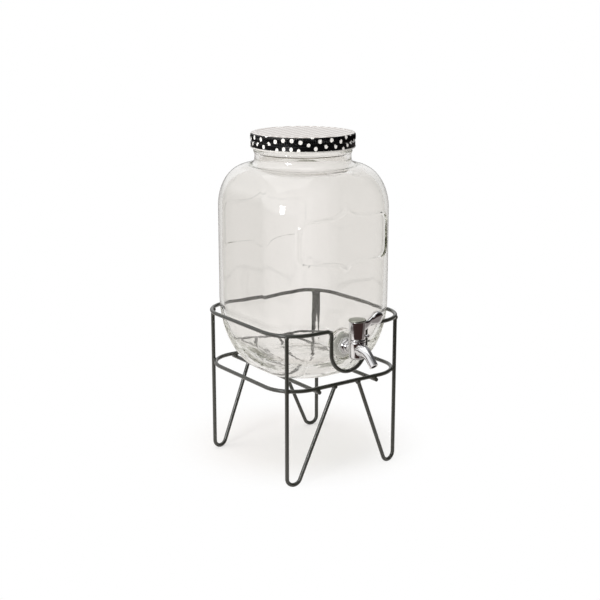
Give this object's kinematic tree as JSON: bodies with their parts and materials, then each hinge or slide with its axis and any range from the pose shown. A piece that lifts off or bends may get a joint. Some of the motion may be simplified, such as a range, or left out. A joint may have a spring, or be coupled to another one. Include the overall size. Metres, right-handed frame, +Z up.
{
  "type": "glass drinks dispenser",
  "caption": "Clear glass drinks jar of rounded-square section with a printed screw lid and a lever tap low on its front, standing in a wire stand with hairpin legs.",
  "frame": {"origin": "on the floor under the jar's axis", "axes": "+Z up, the tap faces -Y, +X is the side that the closed lever points to"},
  "size_m": [0.1706, 0.2151, 0.366],
  "materials": {
    "stand_wire": "satin dark grey lacquer",
    "jar_glass": "clear pressed glass",
    "lid_print": "gloss printed tinplate",
    "liner": "soft foam",
    "tap_chrome": "polished plating",
    "washer": "translucent silicone",
    "nut": "bright plated",
    "plug": "moulded acetal",
    "seal": "moulded",
    "screw": "turned"
  },
  "bodies": {
    "stand": {"stand_top_ring": "stand_wire", "stand_bottom_ring": "stand_wire", "leg_front_left": "stand_wire", "leg_front_right": "stand_wire", "leg_rear_left": "stand_wire", "leg_rear_right": "stand_wire", "crossbar_left": "stand_wire", "crossbar_right": "stand_wire"},
    "jar": {"jar": "jar_glass", "tap_body": "tap_chrome", "bonnet_ring": "tap_chrome", "tap_outer_washer": "washer", "tap_inner_washer": "washer", "tap_lock_nut": "nut"},
    "liner": {"lid_liner": "liner"},
    "lid": {"lid_shell": "lid_print"},
    "lever": {"tap_lever": "tap_chrome", "lever_cap": "tap_chrome", "lever_screw": "screw", "valve_plug": "plug", "plug_seal_upper": "seal", "plug_seal_lower": "seal"}
  },
  "joints": [
    {"name": "jar_lift", "type": "slide", "parent": "stand", "child": "jar", "axis": [0, 0, 1], "range_m": [0, 0.08]},
    {"name": "lid_rise", "type": "slide", "parent": "jar", "child": "liner", "axis": [0, 0, 1], "range_m": [0, 0.0153]},
    {"name": "lid_turn", "type": "hinge", "parent": "liner", "child": "lid", "pos_m": [0, 0, 0.36], "axis": [0, 0, 1], "range_deg": [0, 1080]},
    {"name": "lever_turn", "type": "hinge", "parent": "jar", "child": "lever", "pos_m": [0, -0.0975, 0.168], "axis": [0, 0, 1], "range_deg": [-90, 0]}
  ],
  "couplings": [
    {"joint": "lid_rise", "follows": "lid_turn", "m_per_rad": 0.00080851}
  ]
}
